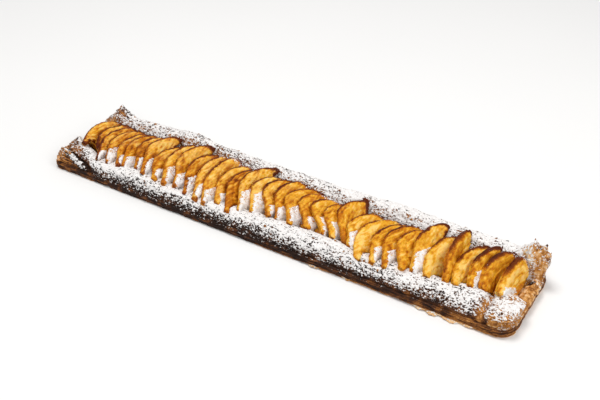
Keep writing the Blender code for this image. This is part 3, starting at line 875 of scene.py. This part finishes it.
def leaf(batch, root, reach, thickness, seed, brown, sugar):
    """A thin sheet: points along its root, and from each the way to its free edge."""
    count = len(root)
    share = np.linspace(0, 1, count)
    length = np.linalg.norm(np.diff(root, axis=0), axis=1).sum()
    taper = np.sqrt(np.sin(np.pi * (0.03 + 0.94 * share)))
    width = taper * (1 + LEAF_RAGGED * line_noise(share * length, 2.6, seed))
    normal = np.cross(np.gradient(root, axis=0), reach)
    normal /= np.linalg.norm(normal, axis=1)[:, None]
    rings = []
    for side, order in ((1, range(LEAF_ROWS + 1)), (-1, range(LEAF_ROWS, -1, -1))):
        for row in order:
            across = row / LEAF_ROWS
            lift = side * thickness / 2 * (1 - 0.5 * across)
            rings.append(root + reach * (width * across)[:, None] + normal * lift)
    grid = np.stack(rings, axis=1)
    ring = grid.shape[1]
    points = grid.reshape(-1, 3)
    rough = np.column_stack([noise(points, 2.2, seed + axis) for axis in (1, 2, 3)])
    points = points + LEAF_ROUGH * rough
    faces = tube(count, ring)
    for start in (0, (count - 1) * ring):
        for j in range(LEAF_ROWS):
            faces.append((start + j, start + j + 1, start + ring - 2 - j, start + ring - 1 - j))
    tone = noise(points, 4, seed + 5)
    rim = np.tile([min(j, ring - 1 - j) / LEAF_ROWS for j in range(ring)], count)
    batch.add(points, faces, brown=brown + 0.12 * (tone + rim), sugar=sugar, pit=0.5 + 0.5 * tone)


def side_points(skin, places, heights):
    """Where rays from outside, level with each height, meet the skin, and their ways back."""
    xy, normal, arc = outline()
    root = []
    ways = []
    for place, z in zip(places, heights):
        i = int(np.argmin(np.abs(arc - place)))
        way = Vector((normal[i][0], normal[i][1], 0))
        start = Vector((xy[i][0], xy[i][1], z)) + way * RAY_START
        hit = skin.ray_cast(start, -way, RAY_REACH)[0]
        if hit is not None:
            root.append(hit - way * LEAF_ROOT)
            ways.append(way)
    return np.array(root), np.array(ways)


def ledge(batch, skin, start, end, height, out, look, number, thickness=1.0 * MM, droop=0.0):
    """A leaf that stands out from the side between two places along the outline."""
    first, *covers = look
    seed = first + number
    places = np.linspace(start, end, max(LEAST_POINTS, round(abs(end - start) / LEAF_SPACING)))
    heights = height + 0.8 * MM * line_noise(places, 9, seed + 9)
    root, ways = side_points(skin, places, heights)
    if len(root) < LEAST_POINTS:
        return
    reach = ways * (out + LEAF_ROOT) + np.array([0, 0, -droop])
    leaf(batch, root, reach, thickness, seed, *covers)


def arc_at(x, y):
    """The length along the outline at its point nearest a place."""
    xy, _, arc = outline()
    return arc[int(np.argmin(np.hypot(xy[:, 0] - x, xy[:, 1] - y)))]


def build_leaves(material, base, front):
    """Leaves that stand off at the front strip's corners, and pale flakes under the front edge."""
    batch = Batch()
    skin = skin_of(front.data)
    for x, leaves, look in ((LEFT, LEFT_LEAVES, LEFT_LOOK), (RIGHT, RIGHT_LEAVES, RIGHT_LOOK)):
        corner = arc_at(x, FRONT)
        for number, (height, low, high, out) in enumerate(leaves):
            start = corner + low * MM
            end = corner + high * MM
            ledge(batch, skin, start, end, height * MM, out * MM, look, number)
    skin = skin_of(base.data)
    for number, (low, high, out) in enumerate(FLAKES):
        start = arc_at(low * MM, FRONT)
        end = arc_at(high * MM, FRONT)
        ledge(batch, skin, start, end, FLAKE_HEIGHT, out * MM, FLAKE_LOOK, number, FLAKE_THICK,
              FLAKE_DROOP)
    batch.piece("crust_leaves", material, "pastry")


# ---- loose grains: how many, how level the crust under them is, and their width in mm ----
CLUMPS = 1100
CLUMP_LEVEL = 0.35
CLUMP_WIDTH = (0.25, 0.65)
CRUMBS = 160
CRUMB_LEVEL = 0.5
CRUMB_WIDTH = (0.7, 1.6)
CRUMB_THICK = 0.35 * MM
CRUMB_LIFT = 0.3 * MM


def grain(batch, place, size, turn, dice, **values):
    """A small rough lump."""
    model = bmesh.new()
    bmesh.ops.create_icosphere(model, subdivisions=1, radius=1.0)
    points = [Vector([c * dice.uniform(0.75, 1.15) * s for c, s in zip(v.co, size)])
              for v in model.verts]
    faces = [tuple(v.index for v in f.verts) for f in model.faces]
    model.free()
    batch.add(np.array([place + turn @ point for point in points]), faces, **values)


def scatter(skins, count, least_level, dice):
    """Places on the upper skins, with the way each faces."""
    spots = []
    for skin in skins:
        points = points_of(skin.data)
        normals = normals_of(skin.data)
        level = np.flatnonzero(normals[:, 2] > least_level)
        share = count // len(skins)
        for i in dice.sample(list(level), min(share, len(level))):
            spots.append((Vector(points[i]), Vector(normals[i])))
    return spots


def upright(way):
    """The turn that stands something up along a way."""
    return way.to_track_quat("Z", "Y").to_matrix()


def build_loose(sugar, pastry, carriers):
    """Clumps of icing sugar and crumbs of crust on top of the strips."""
    dice = random.Random(SEED + 1)
    batch = Batch()
    for place, normal in scatter(carriers, CLUMPS, CLUMP_LEVEL, dice):
        width = dice.uniform(*CLUMP_WIDTH) * MM
        size = (width, width * dice.uniform(0.7, 1.3), width * 0.7)
        grain(batch, place + normal * 0.3 * width, size, upright(normal), dice)
    batch.piece("sugar_clumps", sugar, "pastry")
    batch = Batch()
    for place, normal in scatter(carriers, CRUMBS, CRUMB_LEVEL, dice):
        width = dice.uniform(*CRUMB_WIDTH) * MM
        turn = upright(normal + Vector([dice.uniform(-0.4, 0.4) for _ in range(3)]))
        turn = turn @ Matrix.Rotation(dice.uniform(0, math.pi), 3, "Z")
        size = (width * dice.uniform(1.0, 1.8), width, CRUMB_THICK)
        grain(batch, place + normal * CRUMB_LIFT, size, turn, dice, brown=dice.uniform(0.5, 0.9),
              sugar=dice.uniform(0.0, 0.5), pit=0.5)
    batch.piece("crumbs", pastry, "pastry")


# ---- apple filling ----
FILLING_RELIEF = {"all": 2.4, "lumps": 1.6, "fan": 8.0}  # mm


def build_filling(material):
    """The lumpy bed under the slices, heaped up and sugared at the open left end."""
    mesh = fine_copy("apple_filling", BED_DETAIL)
    points = points_of(mesh)
    x, y, _ = points.T
    lumps = layered_noise(points, 6, 21, 3)
    top = smooth(0.2, 0.7, normals_of(mesh)[:, 2])
    fan = slope(x - LEFT, 48, 36) * slope(y, 0, -8)
    points[:, 2] += top * weigh(FILLING_RELIEF, lumps=lumps, fan=fan) * MM
    move_points(mesh, points)
    sugar = (0.58 + 0.3 * fan) * slope(y - FRONT, 36, 28)
    store(mesh, sugar=sugar, pit=even_share(lumps))
    merge_flat(mesh, 0.0, BASE_TOP + MM)
    add_piece("filling", mesh, material, "apple_filling")


# ---- apple slices ----
PROUD = (8, 11, 17, 25, 31, 33, 35)  # slices whose dark back ends stand out
BACK_PUFF = (0.0, 3.5 * MM, 3.8 * MM)  # how far baked back ends swell up the back strip
PROUD_PUFF = 0.35  # the share of it for those that stand out
SHINGLE = 6.5 * MM  # width of the overlapping layers on a slice's face
RIM_SAMPLES = 220
BLOCKS = 12  # parts in which distances are worked out
STREAK_STRETCH = 0.18  # smaller makes the streaks along a slice longer
FINGER_SLANT = 45 * MM  # how steeply the sugared part narrows to the back
OPEN_SLICES = 3  # the first ones, at the open end, are all back
BARE_SHARE = ((-27, 0.0), (-8, 0.08), (3, 0.2), (12, 0.35), (27, 0.4))  # (cm, chance of none)
NOTHING_NEAR = 1.0

# relief in mm, and what adds to the caramelised colour and to the tone, both with painted shade
FACE_RELIEF = {"all": 0.9, "bend": 0.5, "wobble": 0.35, "layers": 0.6, "crease": -0.2}
SKIN_RELIEF = {"rim": 1.0, "face": 1.0, "groove": -1.1, "streaks": 0.16, "hollow": 1.4}
# valley, crease, groove and front_edge add painted shade
CARAMEL_AND_SHADE_SHARES = {
    "line": 0.12, "back_line": 0.95, "patches": 0.13, "crease": 0.08, "valley": 0.95,
    "groove": 0.45, "streaks": 0.12, "front_edge": 0.16, "tip": 0.30, "heel": 0.25,
    "proud_heel": 0.30}
# layers, crease, near_rim, deep and valley add painted shade
TONE_SHARES = {
    "layers": 0.16, "streaks": 0.18, "near_rim": 0.18, "crease": 0.05, "deep": 0.34,
    "valley": 0.45, "left_front": 0.20, "left": 0.05, "rim": 0.06, "back_rim": 0.26}


def distances(points, targets):
    """How far each point lies from the nearest target."""
    result = np.empty(len(points))
    for block in np.array_split(np.arange(len(points)), BLOCKS):
        away = points[block][:, None, :] - targets[None, :, :]
        result[block] = np.sqrt((away**2).sum(2).min(1))
    return result


def sample(points):
    return points[::max(1, len(points) // RIM_SAMPLES)]


def clearance(points, other):
    """How far each point lies from another solid."""
    if other is None:
        return np.full(len(points), NOTHING_NEAR)
    skin = skin_of(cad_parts[other].data)
    return np.array([skin.find_nearest(Vector(p))[3] for p in points])


class Slice:
    """A slice's fine mesh, and what is known at each of its points."""

    def __init__(self, node, following):
        self.number = int(node[-2:])
        self.proud = self.number in PROUD
        self.mesh = fine_copy(node, SLICE_DETAIL)
        points = points_of(self.mesh)
        self.share = (points[:, 1] - points[:, 1].min()) / np.ptp(points[:, 1])
        self.clear = clearance(points, following)
        puff = smooth(0.45, 1.0, self.share) * (PROUD_PUFF if self.proud else 1.0)
        points += puff[:, None] * BACK_PUFF
        move_points(self.mesh, points)
        self.points = points
        self.normals = normals_of(self.mesh)
        self.middle = points[:, 0].mean()
        centred = points - points.mean(0)
        _, _, axes = np.linalg.svd(centred, full_matrices=False)
        self.facing = self.normals @ (axes[2] if axes[2][0] > 0 else -axes[2])
        self.rim = smooth(0.80, 0.45, np.abs(self.facing))
        self.gaps = self.from_rim(-0.2)
        self.own = points + self.number * CM
        self.bend = noise(self.own, 14, 301)
        self.wobble = layered_noise(self.own, 5.5, 302, 2)
        fibres = centred @ axes.T * (STREAK_STRETCH, 1, 0) + (0, 0, self.number * CM)
        self.streaks = noise(fibres, 0.9, 308) + 0.8 * noise(fibres, 2.0, 311)

    def from_rim(self, least_up):
        """How far each point lies from the parts of the rim that face up at least so much."""
        return distances(self.points,
                         sample(self.points[(self.rim > 0.6) & (self.normals[:, 2] > least_up)]))

    def find_hollow(self, dice):
        """Where the front part of the face is hollow, full of sugar, if it isn't a bare slice."""
        finger = dice.uniform(0.16, 0.34)
        bare = dice.random() < np.interp(self.middle / CM, *zip(*BARE_SHARE))
        inset = (dice.uniform(1.6, 4.2) + 0.8 * self.wobble) * MM
        inset += FINGER_SLANT * np.maximum(0, self.share - finger)
        hollow = slope(self.from_rim(0.4) - inset, -0.6, 0.6)
        hollow *= smooth(-0.2, 0.4, self.facing) * (self.share < finger + 0.3)
        return hollow * (not bare and self.number >= OPEN_SLICES)

    def carve(self, dice):
        """Gives the slice its thin layers, wrinkles and streaks."""
        uneven = 0.6 * noise(self.own, (9, 13, 9), 306)
        self.step = (self.gaps / SHINGLE + uneven + dice.random()) % 1.0
        face = 1 - self.rim
        self.crease = face * np.maximum(smooth(0.80, 0.97, self.step), smooth(0.10, 0.0, self.step))
        self.hollow = self.find_hollow(dice)
        self.groove = bump_at(self.facing, dice.uniform(-0.25, 0.35), 0.16)
        self.groove *= (dice.random() < 0.6) * smooth(-0.4, 0.0, self.normals[:, 2])
        on_rim = 0.9 * (self.bend + self.wobble)
        on_face = weigh(
            FACE_RELIEF, bend=self.bend, wobble=self.wobble, layers=0.5 - self.step,
            crease=self.crease)
        lift = weigh(
            SKIN_RELIEF, rim=self.rim * on_rim, face=face * on_face, groove=self.groove,
            streaks=self.streaks, hollow=self.hollow * slope(self.gaps, 1, 4))
        swell(self.mesh, self.points, lift)

    def cover(self, dice):
        """Stores the slice's caramelised colour and its tone, both with painted shade, and its
        paleness and sugar.
        """
        share, own, wobble = self.share, self.own, self.wobble
        upper = smooth(-0.35, 0.1, self.normals[:, 2])
        line = slope(self.gaps + 1.0 * MM * wobble, 4.8, 0.6) * upper
        # painted shade: the face darkens beside the rim
        near_rim = np.exp(-self.gaps / (2.8 * MM))
        left = slope(self.middle, 100, -120)
        back = np.ones(len(own))
        if self.number > OPEN_SLICES:
            back = smooth(0.30, 0.72, share)
        line = line * dice.uniform(0.75, 1.15)
        patch = smooth(0.25, 0.75, noise(own, 9, 304))
        # painted shade: the face darkens where the following slice comes close
        valley = np.exp(-self.clear / ((1.6 + 1.4 * left) * MM)) * (1 - self.rim)
        heel = smooth(0.86, 1.0, share)
        caramel = weigh(
            CARAMEL_AND_SHADE_SHARES, line=line, back_line=line * back, patches=patch * (0.3 + 0.7 * back),
            # crease and groove: painted shade in the creases and the carved groove
            crease=self.crease * smooth(-0.3, 0.4, noise(own, 8, 307)), valley=valley,
            groove=self.groove, streaks=np.maximum(0, self.streaks) * patch,
            # front_edge: painted shade along the sides of the front ends
            front_edge=(1 - back) * bump_at(self.facing, 0.45, 0.20), tip=smooth(0.07, 0.0, share),
            heel=heel, proud_heel=self.proud * heel)
        dusted = dice.uniform(0.84, 0.96)
        dust = smooth(dusted, dusted + 0.08, share + 0.04 * wobble) * dice.uniform(0.25, 0.6)
        dust *= not self.proud
        tone = dice.uniform(0.06, 0.38) + weigh(
            # layers and crease: painted shade, darker where a layer sinks under the next
            TONE_SHARES, layers=self.step - 0.5, streaks=self.streaks, near_rim=near_rim,
            # deep: painted shade, darker low down among the slices
            crease=self.crease, deep=1 - slope(self.points[:, 2] - BASE_TOP, 2, 14), valley=valley,
            left_front=left * (1 - back), left=left, rim=self.rim,
            back_rim=back * near_rim * (1 - 0.5 * left))
        pale = left * (0.26 + 0.30 * noise(own, 8, 309)) * smooth(0.6, 0.2, tone)
        hollow = self.hollow * (0.66 + 0.14 * smooth(0.3, 0.1, share) + 0.10 * wobble)
        store(self.mesh, caramel=caramel, sugar=np.maximum(hollow, dust), tone=tone, pale=pale,
              pit=even_share(noise(self.points, 1.8, 305)))


def build_slices(material):
    """Every slice in turn, from the left end. Each carries painted shade, darkest where the
    following one is near.
    """
    dice = random.Random(SEED)
    nodes = sorted(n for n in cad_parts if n.startswith("apple_slice"))
    for node, following in zip(nodes, nodes[1:] + [None]):
        piece = Slice(node, following)
        piece.carve(dice)
        piece.cover(dice)
        add_piece(node.replace("apple_", ""), piece.mesh, material, node)


# ---- surroundings ----
def build_stage():
    mesh = mesh_from("floor", FLOOR_CORNERS, [(0, 1, 2, 3)])
    nodes = Nodes("floor")
    soft = nodes.noise(400, 2.0)
    colour = nodes.ramp(soft, *zip((0.0, 1.0), FLOOR_GREYS))
    mesh.materials.append(nodes.finish(colour, 0.7, nodes.bump(soft, 1.0, 0.05), {}))
    floor = add_object("floor", mesh)
    floor.location.z = -FLOOR_DROP


def build_lights():
    """An even sky and three round lights."""
    world = bpy.data.worlds.new("world")
    world.use_nodes = True
    background = world.node_tree.nodes["Background"]
    background.inputs["Color"].default_value = (*WHITE, 1)
    background.inputs["Strength"].default_value = SKY_STRENGTH
    scene.world = world
    scene.view_settings.view_transform = "Standard"
    for name, (place, width, power, colour) in LIGHTS.items():
        light = bpy.data.lights.new(name, "AREA")
        light.shape = "DISK"
        light.size = width
        light.energy = power
        light.color = colour
        lamp = add_object(name, light)
        lamp.location = place
        lamp.rotation_euler = (-Vector(place)).to_track_quat("-Z", "Y").to_euler()


def build_camera():
    data = bpy.data.cameras.new("camera")
    data.sensor_width = SENSOR_WIDTH
    data.lens = CAMERA_LENS
    camera = add_object("camera", data)
    down = math.radians(CAMERA_DOWN)
    azimuth = math.radians(CAMERA_AZIMUTH)
    level = math.cos(down)
    aim = Vector((-math.sin(azimuth) * level, math.cos(azimuth) * level, -math.sin(down)))
    camera.location = CAMERA_PLACE
    camera.rotation_euler = aim.to_track_quat("-Z", "Y").to_euler()
    scene.camera = camera


def build_tart():
    pastry = pastry_material()
    base = build_base(pastry)
    build_lip(pastry)
    front = build_front(pastry)
    back = build_back(pastry)
    build_leaves(pastry, base, front)
    build_loose(sugar_material(), pastry, (front, back))
    build_filling(filling_material())
    build_slices(apple_material())


build_tart()
build_stage()
build_lights()
build_camera()
